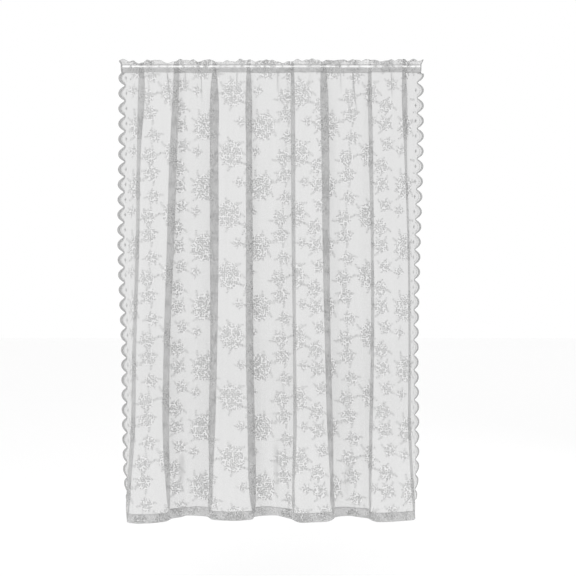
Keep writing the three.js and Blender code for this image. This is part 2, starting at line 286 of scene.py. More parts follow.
# Steps of the cloth's mesh
FLAT_STEPS = 12
TURN_STEPS = 4
BORDER_STEPS = 9
ROWS_PER_SCALLOP = 7


def at_drop(values, drop):
    """A smooth line through a table's sizes, read at an array of drops."""
    knots = np.array(DROPS, float)
    sizes = np.array(values, float)
    slopes = np.gradient(sizes, knots)
    drop = np.clip(drop, knots[0], knots[-1])
    i = np.clip(np.searchsorted(knots, drop, side="right") - 1, 0, len(knots) - 2)
    span = knots[i + 1] - knots[i]
    t = (drop - knots[i]) / span
    start = (2 * t**3 - 3 * t**2 + 1) * sizes[i] + (t**3 - 2 * t**2 + t) * span * slopes[i]
    end = (3 * t**2 - 2 * t**3) * sizes[i + 1] + (t**3 - t**2) * span * slopes[i + 1]
    return start + end


def smooth_step(value, low, high):
    """0 up to low, 1 from high, and a soft slope between them."""
    t = np.clip((value - low) / (high - low), 0, 1)
    return t * t * (3 - 2 * t)


def bump(distance, width):
    """1 at a place, fading softly to both sides of it."""
    return np.exp(-((distance / width) ** 2))


def uneven_wave(x, wave):
    """A wave from -1 to 1 along the rod whose steps wander, so that no two look alike."""
    step, wander, over = wave
    return np.sin(x / step + wander * np.sin(x / over))


def section_points(drop):
    """The points that the level line of the cloth runs through, one line for each drop."""
    drop = np.asarray(drop, float)
    spread = at_drop(SPREAD, drop)
    swell = at_drop(FLAT_SWELL, drop)
    behind = at_drop(EDGE_BEHIND, drop)
    depths = [
        [math.copysign(GATHER_DEPTH, hem) + hem * spread for hem in sides] for sides in FLAT_HEMS
    ]
    turns = []
    for fold in FOLDS:
        x = at_drop(fold["x"], drop)
        lap = at_drop(fold["lap"], drop)
        turn = {"x": x, "right": x + lap / 2, "left": x - lap / 2}
        for side, size in zip(("before", "after"), fold["opens"]):
            turn[side] = at_drop(TURN_REACH, drop) + size * at_drop(HEM_OPENING, drop)
        turns.append(turn)
    last = len(FLAT_HEMS) - 1
    points = []
    for i, (left_depth, right_depth) in enumerate(depths):
        is_left, is_right = i == 0, i == last
        starts = at_drop(LEFT_EDGE, drop) if is_left else turns[i - 1]["left"]
        ends = at_drop(RIGHT_EDGE, drop) if is_right else turns[i]["right"]
        border_reach = BORDER_REACH * np.abs(ends - starts)
        first = starts
        if not is_left:
            first = starts + (border_reach if is_right else turns[i - 1]["after"])
        final = ends
        if not is_right:
            final = ends - (border_reach if is_left else turns[i]["before"])
        share = {0: BORDER_SWELL, last: 1 - BORDER_SWELL}.get(i, 0.5)
        depth = (left_depth + right_depth) / 2
        middle = BORDER_BEHIND * behind if is_left or is_right else depth * swell
        points.append((first, left_depth + (behind if is_left else 0)))
        points.append((first + share * (final - first), depth + middle))
        points.append((final, right_depth + (behind if is_right else 0)))
        if is_right:
            break
        step = depths[i + 1][0] - right_depth
        points.append((turns[i]["right"], right_depth + step / 4))
        points.append((turns[i]["x"], right_depth + step / 2))
        points.append((turns[i]["left"], right_depth + 3 * step / 4))
    return np.array([[x, y] for x, y in points]).transpose(2, 0, 1)


def follow(points, shares):
    """Places on the smooth line through each row's points; shares count its spans from 0."""
    before = 2 * points[:, :1] - points[:, 1:2]
    after = 2 * points[:, -1:] - points[:, -2:-1]
    line = np.concatenate([before, points, after], axis=1)
    gaps = np.sqrt(np.linalg.norm(np.diff(line, axis=1), axis=2))
    gaps = np.maximum(gaps, 1e-4)
    span = np.clip(shares.astype(int), 0, points.shape[1] - 2)
    t = (shares - span)[..., None]
    row = np.arange(points.shape[0])[:, None]
    p0, p1, p2, p3 = (line[row, span + k] for k in range(4))
    d0, d1, d2 = (gaps[row, span + k][..., None] for k in range(3))
    m1 = ((p1 - p0) / d0 - (p2 - p0) / (d0 + d1) + (p2 - p1) / d1) * d1
    m2 = ((p2 - p1) / d1 - (p3 - p1) / (d1 + d2) + (p3 - p2) / d2) * d1
    cubic = 2 * p1 - 2 * p2 + m1 + m2
    square = 3 * p2 - 3 * p1 - 2 * m1 - m2
    return ((cubic * t + square) * t + m1) * t + p1


def from_tip(drop, notch_drop):
    """How far from its scallop's tip a place lies: 0 at the tip and 1 at the notches."""
    turns = (drop - notch_drop) / SCALLOP_PITCH
    return 2 * np.abs(turns - np.floor(turns) - 0.5)


def edge_inset(flat, notch_drop):
    """How far the free edge lies inside the line of the tips, down from the header's top."""
    scallop = SCALLOP_DEPTH * from_tip(flat, notch_drop) ** SCALLOP_ROUNDNESS
    below = np.where(flat > SCALLOPS_END, PLAIN_EDGE_INSET, scallop)
    flare = HEADER_INSET - HEADER_FLARE * smooth_step(-flat, FLARE_START, HEADER_HEIGHT)
    return np.where(flat < SEAM_DROP + 1, flare, below)


def cloth_rows():
    """Every row of the cloth from its raw edge behind the pocket to the one inside the hem.

    flat is the place along the cloth laid flat, z the height, drop the section that the row
    follows, side the front (-1) or back (1) of the pocket, gap and folds as in its shape, and
    layer the offset of the hem's turned layers behind the front one."""
    rows = []

    def add(flat, z, drop, side=0, gap=0.0, folds=1.0, layer=0.0):
        rows.append((flat, z, drop, side, gap, folds, layer))

    for shape in POCKET_SHAPE:
        add(ROD_BACK + shape["z"], shape["z"], SEAM_DROP, 1, shape["gap"], shape["folds"])
    add(-HEADER_HEIGHT, HEADER_HEIGHT, SEAM_DROP, folds=HEADER_FOLDS)
    for shape in reversed(POCKET_SHAPE):
        add(-shape["z"], shape["z"], SEAM_DROP, -1, shape["gap"], shape["folds"])
    step = SCALLOP_PITCH / ROWS_PER_SCALLOP
    k = math.ceil((SEAM_DROP + 1 - LEFT_NOTCH_DROP) / step)
    drops = []
    while LEFT_NOTCH_DROP + k * step < HEM_TOP - 1:
        drops.append(LEFT_NOTCH_DROP + k * step)
        k += 1
    notch = RIGHT_NOTCH_DROP
    while notch < SCALLOPS_END:
        drops.append(notch)
        notch += SCALLOP_PITCH
    for drop in sorted(drops) + list(np.linspace(HEM_TOP, PANEL_DROP - 1, HEM_ROWS)):
        add(drop, -drop, drop)
    add(PANEL_DROP, -PANEL_DROP, PANEL_DROP, layer=HEM_FOLD_BEHIND)
    for up in np.linspace(HEM_EASE, HEM_HEIGHT, HEM_ROWS):
        drop = PANEL_DROP - up
        add(PANEL_DROP + up, -drop, drop, layer=HEM_OUTER_BEHIND)
    for down in np.linspace(HEM_EASE, HEM_TURN, HEM_ROWS):
        drop = HEM_TOP + down
        add(HEM_INSIDE + down, -drop, drop, layer=HEM_INNER_BEHIND)
    names = ("flat", "z", "drop", "side", "gap", "folds", "layer")
    return {name: np.array(column) for name, column in zip(names, zip(*rows))}


def header_top(x):
    """The height of the header's frilled top, which dips where gathers bunch."""
    falls = sum(dip["fall"] * bump(x - dip["x"], dip["width"]) for dip in HEADER_DIPS)
    frill = sum(rise * uneven_wave(x, wave) for rise, wave in FRILL_WAVES)
    return HEADER_HEIGHT - FRILL_MIDDLE * HEADER_FRILL - falls + HEADER_FRILL * frill


def crease_weights(x, drop):
    """Each crease's strength at a place: 1 in its middle, fading to its sides and ends."""
    weights = []
    for crease in CREASES:
        length = crease["to"] - crease["from"]
        along = (drop - crease["from"]) / length
        middle = crease["x"] + crease["drift"] * along
        ends = smooth_step(along, *CREASE_GROWS) if crease["from"] > SEAM_DROP else 1.0
        fade = ends * (1 - smooth_step(along, *CREASE_FADES))
        weights.append(fade * bump(x - middle, crease["width"]))
    return weights


def ripple(x, drop):
    """Soft ripples and creases below the gathers, the same for every layer at one place."""
    below = np.maximum(drop - SEAM_DROP, 0)
    total = 0.0
    for wave in RIPPLES:
        lean = RIPPLE_LEAN * np.sin(drop / RIPPLE_LEAN_STEP + wave["phase"])
        turn = 2 * math.pi * x / wave["length"] + wave["phase"] + lean
        total = total + wave["rise"] * np.exp(-below / wave["fades"]) * np.sin(turn)
    for crease, weight in zip(CREASES, crease_weights(x, drop)):
        total = total + crease["rise"] * weight
    return total


def bunching(x, in_header):
    """How far the gathers bunch the cloth along the rod: 1 where they pinch it together, and
    below 0 where the layers of a fold spread out."""
    folds = 0.0
    for fold in FOLDS:
        half = fold["lap"][0] / 2
        inside = 1 - smooth_step(np.abs(x - fold["x"][0]), half, half + FOLD_MARGIN)
        folds = folds - inside * (1 - FOLD_LOSS * in_header)
    dips = sum(DIP_BUNCH * bump(x - dip["x"], DIP_BUNCH_WIDTH) for dip in HEADER_DIPS)
    small = SMALL_BUNCH * smooth_step(uneven_wave(x, BUNCH_WAVE), SMALL_BUNCH_START, 1.0)
    return np.clip(folds + (dips + small) * (1 - BUNCH_LOSS * in_header), -1, 1)


def crowding_and_crease_shade(shares, x, rows):
    """Where threads crowd: at the turns of folds, in creases, and in bunches on the rod; the
    creases' share is also painted shade.
    """
    drop = rows["drop"][:, None]
    in_pocket = (np.abs(rows["flat"] + HEADER_HEIGHT) < HEADER_HEIGHT + SEAM_DROP)[:, None]
    in_header = (np.abs(rows["z"]) > HEADER_SEAM)[:, None] * 1.0
    bends = 0.0
    for i in range(len(FOLDS)):
        for corner in (FOLD_POINTS * i + 3, FOLD_POINTS * i + 5):
            bends = bends + bump(shares - corner, TURN_CROWDING_WIDTH)
    # Painted shade: each crease darkens the net by its shade.
    creases = sum(c["shade"] * w for c, w in zip(CREASES, crease_weights(x, drop)))
    hanging = TURN_CROWDING * bends * (1 - smooth_step(drop, *TURNS_OPEN)) + creases
    return np.where(in_pocket, bunching(x, in_header), np.clip(hanging, 0, 1))


class Cloth:
    """The hanging cloth as a surface: where any place of the flat cloth lies in the folds."""

    SAMPLES_PER_SPAN = 14
    GRID_STEP = 2.0
    TANGENT_STEP = 0.02
    SHORTEST = 1e-9

    def __init__(self):
        self.rows = cloth_rows()
        self.points = section_points(self.rows["drop"])
        count = len(self.rows["drop"])
        dense = np.linspace(0, SPAN_COUNT, SPAN_COUNT * self.SAMPLES_PER_SPAN + 1)
        self.dense = dense
        line = follow(self.points, np.broadcast_to(dense, (count, len(dense))))
        steps = np.linalg.norm(np.diff(line, axis=1), axis=2)
        lengths = np.concatenate([np.zeros((count, 1)), np.cumsum(steps, axis=1)], axis=1)
        self.lengths = lengths
        self.widths = FLAT_WIDTH * lengths / lengths[:, -1:]
        self.grid = np.arange(0, FLAT_WIDTH + 1, self.GRID_STEP)
        shares = np.array([np.interp(self.grid, width, dense) for width in self.widths])
        self.places = self.lay(shares)
        down = np.gradient(self.places, axis=0)
        across = np.gradient(self.places, axis=1)
        normals = np.cross(across, down)
        self.normals = self.unit(normals)

    def unit(self, vectors):
        """The vectors' directions."""
        sizes = np.linalg.norm(vectors, axis=2, keepdims=True)
        return vectors / np.maximum(sizes, self.SHORTEST)

    def lay(self, shares):
        """Positions of places on every row, in millimetres."""
        rows = self.rows
        level = follow(self.points, shares)
        ahead = follow(self.points, np.minimum(shares + self.TANGENT_STEP, SPAN_COUNT))
        behind = follow(self.points, np.maximum(shares - self.TANGENT_STEP, 0))
        along = self.unit(ahead - behind)
        layer = rows["layer"][:, None]
        x = level[..., 0] - layer * along[..., 1]
        y = level[..., 1] + layer * along[..., 0]
        z = np.broadcast_to(rows["z"][:, None], x.shape)
        above = smooth_step(z, HEADER_SEAM, HEADER_HEIGHT)
        raised = HEADER_SEAM + (z - HEADER_SEAM) * (header_top(x) - HEADER_SEAM) / (
            HEADER_HEIGHT - HEADER_SEAM
        )
        z = np.where(z > HEADER_SEAM, raised, z)
        sway = HEADER_SWAY * uneven_wave(x, SWAY_WAVE) * above
        side = rows["side"][:, None]
        y = side * rows["gap"][:, None] + rows["folds"][:, None] * y + sway
        share = np.where(rows["flat"] > 0, 1.0, BACK_RIPPLE)[:, None]
        y = y + ripple(x, rows["drop"][:, None]) * share
        room = side * np.sqrt(np.maximum(ROD_ROOM**2 - z**2, 0))
        y = np.where(room != 0, side * np.maximum(side * y, np.abs(room)), y)
        return np.stack([x, y, z], axis=2)

    def insets(self, notch_drop):
        """Each row's free edge, inside the line of the tips."""
        flat = self.rows["flat"]
        return edge_inset(np.maximum(flat, ROD_BACK - flat), notch_drop)

    def inset_share(self, row, inset, from_right=False):
        """The place on a row, counted in spans, that lies an inset along the cloth."""
        lengths = self.lengths[row]
        place = lengths[-1] - inset if from_right else inset
        return np.interp(place, lengths, self.dense)

    def flat_under(self, x, drop):
        """The place across the flat cloth whose nearest layer hangs at x on the row of a drop."""
        row = int(np.argmin(np.abs(self.rows["flat"] - drop)))
        line = self.places[row]
        crossed = np.nonzero(np.diff(np.sign(line[:, 0] - x)))[0]
        nearest = crossed[np.argmin(line[crossed, 1])]
        part = (x - line[nearest, 0]) / (line[nearest + 1, 0] - line[nearest, 0])
        return (nearest + part) * self.GRID_STEP

    def place(self, flat_x, flat_y, lift=0.0):
        """Where places of the flat cloth lie, lifted off its front by lift millimetres."""
        flats = self.rows["flat"]
        i = np.clip(np.searchsorted(flats, flat_y) - 1, 0, len(flats) - 2)
        t = ((flat_y - flats[i]) / (flats[i + 1] - flats[i]))[:, None]
        j = np.clip((flat_x / self.GRID_STEP).astype(int), 0, len(self.grid) - 2)
        s = (flat_x / self.GRID_STEP - j)[:, None]

        def mix(table):
            upper = table[i, j] * (1 - s) + table[i, j + 1] * s
            lower = table[i + 1, j] * (1 - s) + table[i + 1, j + 1] * s
            return upper * (1 - t) + lower * t

        return mix(self.places) + lift * mix(self.normals)


CLOTH = Cloth()


FLAT_MAP = "flat_cloth"
DENSITY_MAP = "densities"


def grey(level):
    """A grey as a shader's colour."""
    return (level, level, level, 1.0)


class Socket:
    """A node's output, so that shader maths is written as Python expressions."""

    def __init__(self, shader, socket):
        self.shader = shader
        self.socket = socket

    def _math(self, operation, *values):
        return self.shader.node("ShaderNodeMath", {"operation": operation}, *values)

    def __add__(self, other):
        return self._math("ADD", self, other)

    def __radd__(self, other):
        return self._math("ADD", other, self)

    def __sub__(self, other):
        return self._math("SUBTRACT", self, other)

    def __rsub__(self, other):
        return self._math("SUBTRACT", other, self)

    def __mul__(self, other):
        return self._math("MULTIPLY", self, other)

    def __rmul__(self, other):
        return self._math("MULTIPLY", other, self)

    def sine(self):
        return self._math("SINE", self)

    def size(self):
        return self._math("ABSOLUTE", self)

    def at_most(self, other):
        return self._math("MINIMUM", self, other)

    def at_least(self, other):
        return self._math("MAXIMUM", self, other)

    def output(self, k):
        """Another output of the same node."""
        return Socket(self.shader, self.socket.node.outputs[k])


class Shader:
    """One material's node tree."""

    def __init__(self, name, view_level):
        self.material = bpy.data.materials.new(name)
        self.material.use_nodes = True
        self.material.diffuse_color = grey(view_level)
        self.tree = self.material.node_tree
        self.tree.nodes.clear()
        self.surface_output = self.tree.nodes.new("ShaderNodeOutputMaterial")

    def node(self, kind, settings=None, *values, out=0, **named):
        """Adds a node, sets it, fills its sockets with numbers or links, and gives an output."""
        made = self.tree.nodes.new(kind)
        for key, value in (settings or {}).items():
            setattr(made, key, value)
        sockets = list(enumerate(values))
        sockets += [(key.replace("_", " "), value) for key, value in named.items()]
        for key, value in sockets:
            if isinstance(value, Socket):
                self.tree.links.new(value.socket, made.inputs[key])
            else:
                made.inputs[key].default_value = value
        return Socket(self, made.outputs[out])

    def surface(self, **sockets):
        """The Principled surface, wired to the output."""
        made = self.node("ShaderNodeBsdfPrincipled", None, **sockets)
        self.tree.links.new(made.socket, self.surface_output.inputs["Surface"])
        return self.material

    def read_map(self, name):
        """The two values that one of the cloth's maps holds at each place.

        The flat cloth's are metres across and down from the rod. The densities tell how far
        the cloth is worked with flowers, and how far it is gathered, with the creases' painted
        shade."""
        place = self.node("ShaderNodeUVMap", {"uv_map": name})
        split = self.node("ShaderNodeSeparateXYZ", None, place)
        return split, split.output(1)

    def vector(self, x, y):
        return self.node("ShaderNodeCombineXYZ", None, x, y, 0.0)

    def noise(self, scale, detail=2.0, **sockets):
        return self.node("ShaderNodeTexNoise", None, Scale=scale, Detail=detail, **sockets)

    def remap(self, value, low, high, start=0.0, end=1.0):
        """A value between low and high, moved to lie between start and end."""
        return self.node("ShaderNodeMapRange", None, value, low, high, start, end)

    def band(self, value, low, high, soft=0.5):
        """1 between two places and 0 outside, with soft edges. Places are in millimetres."""
        low, high, soft = low * MM, high * MM, soft * MM
        rise = self.remap(value, low - soft, low + soft)
        fall = self.remap(value, high - soft, high + soft, 1.0, 0.0)
        return rise * fall

    def relief(self, strength, distance, height):
        """Slight unevenness for the surface, its distance in millimetres."""
        return self.node(
            "ShaderNodeBump", None, Strength=strength, Distance=distance * MM, Height=height
        )

    def shade(self, factor, low, high):
        """A grey that varies between two levels."""
        settings = {"data_type": "RGBA"}
        return self.node("ShaderNodeMix", settings, out=2, Factor=factor, A=grey(low), B=grey(high))


# Noise is 0.5 on average, and so is a sine once it is moved to lie between 0 and 1
MEAN = 0.5

# Scales of the net's noise, and of its streaks across and down the cloth
SLOW_NOISE = 9.0
MOTTLE_NOISE = 150.0
FINE_NOISE = 900.0
STREAKS = (55.0, 1.6)
POCKET_STREAKS = (60.0, 420.0)

# How far each of them changes the net's cover
THREAD_MEAN = 0.6
SLOW_CHANGE = 0.06
STREAK_CHANGE = 0.08
POCKET_CHANGE = 0.5
HEADER_CHANGE = 1.1
HEM_CHANGE = 0.3
FOLDED_EDGE_COVER = 0.25
NET_COVER_RANGE = (0.03, 0.97)
NET_SHADE_RANGE = (0.97, 1.03)

# A thinner line under the rod: its top, bottom and softness, and how much cover it takes off
THIN_LINE = (10.0, 12.5, 1.0)
THIN_LINE_LOSS = 0.12
SLIT_SOFTNESS = 0.8

# Knots of the sprays: how unevenly they lie, how ragged a spray's edge is and over which
# densities it comes in, and how far a knot reaches into its cell with the cover beside it
KNOT_UNEVENNESS = 0.75
RAGGEDNESS = 0.9
SPRAY_EDGE = (0.35, 0.6)
KNOT_REACH = (0.23, 0.46)
BESIDE_KNOT = -0.18


def folded_edges(shader, down):
    """The places down the cloth where it is folded over and so looks denser."""
    edges = shader.band(down, HEM_TOP, HEM_TOP + 3)
    edges = edges + shader.band(down, PANEL_DROP - 3, PANEL_DROP + 3)
    return edges + shader.band(down, -HEADER_HEIGHT - 2, 2 - HEADER_HEIGHT)


def net_material(settings):
    """Sheer knitted net: fine threads, knots in the flower sprays, crowded in gathers, and painted
    shade in creases.
    """
    shader = Shader("lace_net", 0.8)
    across, down = shader.read_map(FLAT_MAP)
    spray, gathers = shader.read_map(DENSITY_MAP)
    turns = math.pi / (settings.net_pitch * MM)
    one = ((across + down) * turns).sine().size()
    other = ((across - down) * turns).sine().size()
    threads = 1.0 - one * other
    slow = shader.noise(SLOW_NOISE, 3.0)
    mottle = shader.noise(MOTTLE_NOISE) - MEAN
    streaks, pocket_streaks = (
        shader.noise(1.0, Vector=shader.vector(across * wide, down * high)) - MEAN
        for wide, high in (STREAKS, POCKET_STREAKS)
    )

    pocket = shader.band(down, -HEADER_SEAM, SEAM_DROP)
    pocket = pocket + shader.band(down, BACK_TOP, ROD_BACK + HEADER_SEAM)
    header = shader.band(down, ROD_BACK + HEADER_SEAM, -HEADER_SEAM)
    hem = shader.band(down, HEM_TOP, CLOTH_END)
    slit = shader.band(down, settings.slit_top, settings.slit_bottom, SLIT_SOFTNESS)
    cells = shader.node(
        "ShaderNodeTexVoronoi",
        {"voronoi_dimensions": "2D"},
        Vector=shader.vector(across, down),
        Scale=1.0 / (settings.knot_pitch * MM),
        Randomness=KNOT_UNEVENNESS,
    )
    ragged = shader.remap(spray + mottle * RAGGEDNESS, *SPRAY_EDGE)
    worked = shader.remap(cells, *KNOT_REACH, 1.0, BESIDE_KNOT)
    ungathered = 1.0 - gathers

    cover = settings.net_cover + (threads - THREAD_MEAN) * settings.net_contrast
    cover = cover + (slow - MEAN) * SLOW_CHANGE + streaks * STREAK_CHANGE
    cover = cover + ragged * worked * settings.knot_contrast
    cover = cover + pocket * (settings.pocket_extra + pocket_streaks * POCKET_CHANGE)
    cover = cover + header * (settings.header_extra + mottle * HEADER_CHANGE)
    cover = cover + hem * (settings.hem_extra + mottle * HEM_CHANGE)
    cover = cover + folded_edges(shader, down) * FOLDED_EDGE_COVER
    # Crowded threads, and the painted shade along creases, add cover and so darken the net.
    cover = cover + gathers * settings.crowding_and_shade_cover
    cover = cover * (1.0 - slit * ungathered * settings.slit_thinning)
    cover = cover - shader.band(down, *THIN_LINE) * ungathered * THIN_LINE_LOSS
    least, most = NET_COVER_RANGE
    return shader.surface(
        Base_Color=shader.shade(slow, *(settings.cloth_grey * part for part in NET_SHADE_RANGE)),
        Roughness=0.85,
        Alpha=cover.at_least(least).at_most(most),
        Normal=shader.relief(0.25, 0.4, threads + shader.noise(FINE_NOISE)),
    )


# The flowers' threads, in millimetres, and how far threads and noise change their cover
FLOWER_THREAD = 0.9
FLOWER_THREAD_CHANGE = 0.2
FLOWER_CHANGE = 0.25


def cloth_work_material(settings):
    """Closely knitted cloth-work of the flowers: short parallel threads."""
    shader = Shader("lace_flowers", 0.75)
    down = shader.read_map(FLAT_MAP)[1]
    threads = (down * (2 * math.pi / (FLOWER_THREAD * MM))).sine() * 0.5 + 0.5
    cover = settings.flower_cover + (threads - MEAN) * FLOWER_THREAD_CHANGE
    cover = cover + (shader.noise(160.0) - MEAN) * FLOWER_CHANGE
    return shader.surface(
        Base_Color=grey(settings.flower_grey),
        Roughness=0.8,
        Alpha=cover.at_least(0.1).at_most(1.0),
        Normal=shader.relief(0.4, 0.5, threads + shader.noise(1200.0)),
    )


# How far turns of thread and noise change a cord's cover, and the shade between its turns
CORD_TURN_CHANGE = 0.12
CORD_CHANGE = 0.2
CORD_SHADOW = 0.9


def cord_material(name, level, cover, turns_per_metre):
    """Overlocked or sewn thread: close turns across the line of the edge."""
    shader = Shader(name, 0.7)
    across, down = shader.read_map(FLAT_MAP)
    turns = ((across + down) * (2 * math.pi * turns_per_metre)).sine() * 0.5 + 0.5
    alpha = cover + (turns - MEAN) * CORD_TURN_CHANGE
    alpha = alpha + (shader.noise(240.0) - MEAN) * CORD_CHANGE
    return shader.surface(
        Base_Color=shader.shade(turns, level * CORD_SHADOW, level),
        Roughness=0.75,
        Alpha=alpha.at_least(0.2).at_most(1.0),
        Normal=shader.relief(0.5, 0.6, turns),
    )


def enamel_material(settings):
    """Smooth white enamel with a faint unevenness, and a painted glow: it emits light though it is
    no lamp.
    """
    shader = Shader("rod_enamel", 0.95)
    wear = shader.noise(60.0, 3.0)
    return shader.surface(
        Base_Color=shader.shade(wear, settings.rod_grey, min(1.0, settings.rod_grey * 1.03)),
        Roughness=0.28 + wear * 0.12,
        Normal=shader.relief(0.05, 0.3, wear),
        # Painted glow: the rod emits a little light, standing in for light in the pocket.
        Emission_Color=grey(1.0),
        Emission_Strength=settings.rod_painted_glow,
    )


def make_piece(name, vertices, faces, flat_places, material, densities=None):
    """A mesh in metres with its flat-cloth map, as a piece that rides on the curtain."""
    mesh = bpy.data.meshes.new(name)
    mesh.from_pydata((np.asarray(vertices) * MM).tolist(), [], faces)
    mesh.materials.append(material)
    layer = mesh.uv_layers.new(name=FLAT_MAP)
    corners = np.empty(len(mesh.loops), int)
    mesh.loops.foreach_get("vertex_index", corners)
    layer.data.foreach_set("uv", (np.asarray(flat_places)[corners] * MM).ravel())
    if densities is not None:
        marks = mesh.uv_layers.new(name=DENSITY_MAP)
        marks.data.foreach_set("uv", np.asarray(densities)[corners].ravel())
    mesh.polygons.foreach_set("use_smooth", [True] * len(mesh.polygons))
    mesh.validate()
    piece = bpy.data.objects.new(name, mesh)
    bpy.context.collection.objects.link(piece)
    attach(piece, "root")
    return piece


def column_shares():
    """Where the mesh's columns stand between the two borders, counted in spans."""
    shares = []
    for span in range(1, SPAN_COUNT - 1):
        steps = TURN_STEPS if span % FOLD_POINTS in (2, 3, 4, 5) else FLAT_STEPS
        shares += [span + k / steps for k in range(steps)]
    return shares + [SPAN_COUNT - 1]


def build_cloth(settings):
    """The whole panel as one sheet: pocket, header, hanging cloth and turned hem."""
    count = len(CLOTH.rows["flat"])
    middle = np.array(column_shares(), float)
    steps = np.arange(BORDER_STEPS) / BORDER_STEPS
    left_insets = CLOTH.insets(LEFT_NOTCH_DROP)
    right_insets = CLOTH.insets(RIGHT_NOTCH_DROP)
    shares = []
    for row in range(count):
        left = CLOTH.inset_share(row, left_insets[row])
        right = CLOTH.inset_share(row, right_insets[row], from_right=True)
        left_part = left + (1 - left) * steps
        right_part = right - (right - (SPAN_COUNT - 1)) * steps
        shares.append(np.concatenate([left_part, middle, right_part[::-1]]))
    shares = np.array(shares)
    places = CLOTH.lay(shares)
    columns = shares.shape[1]
    across = np.array([np.interp(shares[r], CLOTH.dense, CLOTH.widths[r]) for r in range(count)])
    down = np.broadcast_to(CLOTH.rows["flat"][:, None], across.shape)
    flats = np.stack([across, down], axis=2).reshape(-1, 2)
    index = np.arange(count * columns).reshape(count, columns)
    faces = np.stack(
        [index[:-1, :-1], index[1:, :-1], index[1:, 1:], index[:-1, 1:]], axis=2
    ).reshape(-1, 4)
    spray = spray_density(across, down)
    gathers = crowding_and_crease_shade(shares, places[..., 0], CLOTH.rows)
    densities = np.stack([spray, gathers], axis=2).reshape(-1, 2)
    material = net_material(settings)
    return make_piece(
        "lace_cloth", places.reshape(-1, 3), faces.tolist(), flats, material, densities
    )


class Patches:
    """Small flat shapes laid on the cloth, gathered into one mesh."""

    def __init__(self, lift):
        self.lift = lift
        self.flats = []
        self.faces = []

    def add(self, outline):
        """outline is a closed line of places on the flat cloth, in millimetres."""
        start = sum(len(part) for part in self.flats)
        self.flats.append(np.asarray(outline, float))
        self.faces.append(list(range(start, start + len(outline))))

    def piece(self, name, material):
        flats = np.concatenate(self.flats)
        places = CLOTH.place(flats[:, 0], flats[:, 1], self.lift)
        return make_piece(name, places, self.faces, flats, material)


def leaf(length, width, angle, x, y):
    """A pointed leaf that starts at a place and grows along an angle."""
    shape = [(0, 0), (0.3, 0.42), (0.62, 0.45), (1, 0), (0.62, -0.45), (0.3, -0.42)]
    cos, sin = math.cos(angle), math.sin(angle)
    return [
        (x + length * a * cos - width * b * sin, y + length * a * sin + width * b * cos)
        for a, b in shape
    ]


def dot(size, x, y):
    """A round dot of six sides."""
    turns = [k * math.pi / 3 for k in range(6)]
    return [(x + size * math.cos(turn), y + size * math.sin(turn)) for turn in turns]


def petal_arc(radius, middle, half, width):
    """A crescent round a bloom's centre, nearly pointed at its ends."""
    outer = []
    inner = []
    for step in (-1, 0, 1):
        turn = middle + half * step
        swell = width * (1 - step * step) / 2 + PETAL_END
        outer.append(((radius + swell) * math.cos(turn), (radius + swell) * math.sin(turn)))
        inner.append(((radius - swell) * math.cos(turn), (radius - swell) * math.sin(turn)))
    return outer + inner[::-1]


# A bloom's rings of petals: each ring's share of the bloom's size, its number of petals, and
# half of the angle that a petal takes
BLOOM_RINGS = [(0.36, 4, 0.52), (0.66, 7, 0.31), (0.97, 10, 0.22)]
RING_TURN = 0.5
PETAL_WIDTH = 0.16
PETAL_END = 0.2

# A sprig's leaves: width over length, the angle they splay, how much smaller the last ones
# are, and the length and width of the bud at its tip
LEAF_WIDTH = 0.42
LEAF_SPLAY = 0.95
LEAF_TAPER = 0.35
BUD_SIZE = (0.8, 0.36)

# The two bouquets in millimetres around their middles. Blooms are (size, turn, x, y), sprigs
# (x, y, turn, bend, pairs of leaves) and dots (x, y). reach is half the worked width and
# height of the cloth around a bouquet.
BOUQUETS = {
    "large": {
        "reach": (46, 54),
        "blooms": [(13.5, 0.3, -13, -17), (12.5, 1.1, 18, -5), (10.5, 2.0, -7, 19)],
        "sprig_size": (23, 6.0),
        "sprigs": [
            (-26, -30, -2.3, 0.7, 4),
            (2, -34, -1.3, -0.6, 4),
            (28, -20, -0.6, 0.8, 4),
            (33, 6, 0.5, 0.7, 4),
            (9, 24, 1.0, -0.7, 5),
            (-22, 10, 2.7, -0.8, 4),
            (-30, -10, 3.3, 0.5, 4),
            (-14, 33, 1.9, 0.6, 4),
        ],
        "dot_size": 1.9,
        "dots": [(-3, 1), (5, 10), (26, 20), (-31, 24), (36, -32), (-42, 2), (10, -46)],
    },
    "small": {
        "reach": (28, 31),
        "blooms": [(9.5, 0.8, -8, -6), (8.5, 1.7, 10, 6)],
        "sprig_size": (18, 5.5),
        "sprigs": [
            (-15, -13, -2.2, -0.6, 4),
            (4, -13, -0.9, 0.7, 4),
            (18, 12, 0.7, 0.7, 4),
            (-3, 13, 1.8, 0.8, 4),
            (-17, 2, 2.8, -0.6, 3),
        ],
        "dot_size": 1.7,
        "dots": [(0, -20), (22, -4), (-22, 15)],
    },
}


def bloom(size, turn):
    """A full bloom: rings of overlapping petal edges around a small eye."""
    shapes = [dot(PETAL_WIDTH * size, 0, 0)]
    for ring, (share, count, half) in enumerate(BLOOM_RINGS):
        for k in range(count):
            middle = turn + ring * RING_TURN + 2 * math.pi * k / count
            shapes.append(petal_arc(share * size, middle, half, PETAL_WIDTH * size))
    return shapes


def sprig(length, leaf_size, turn, bend, pairs):
    """A bent stem of paired leaves with a bud at its tip."""
    shapes = []
    x = y = 0.0
    angle = turn
    step = length / pairs
    for k in range(pairs):
        x += step * math.cos(angle)
        y += step * math.sin(angle)
        angle += bend / pairs
        size = leaf_size * (1 - LEAF_TAPER * k / pairs)
        for side in (-1, 1):
            shapes.append(leaf(size, LEAF_WIDTH * size, angle + side * LEAF_SPLAY, x, y))
    bud_length, bud_width = BUD_SIZE
    shapes.append(leaf(leaf_size * bud_length, leaf_size * bud_width, angle, x, y))
    return shapes


def moved(shapes, x, y):
    """Shapes moved sideways and down the flat cloth."""
    return [[(x + a, y + b) for a, b in shape] for shape in shapes]


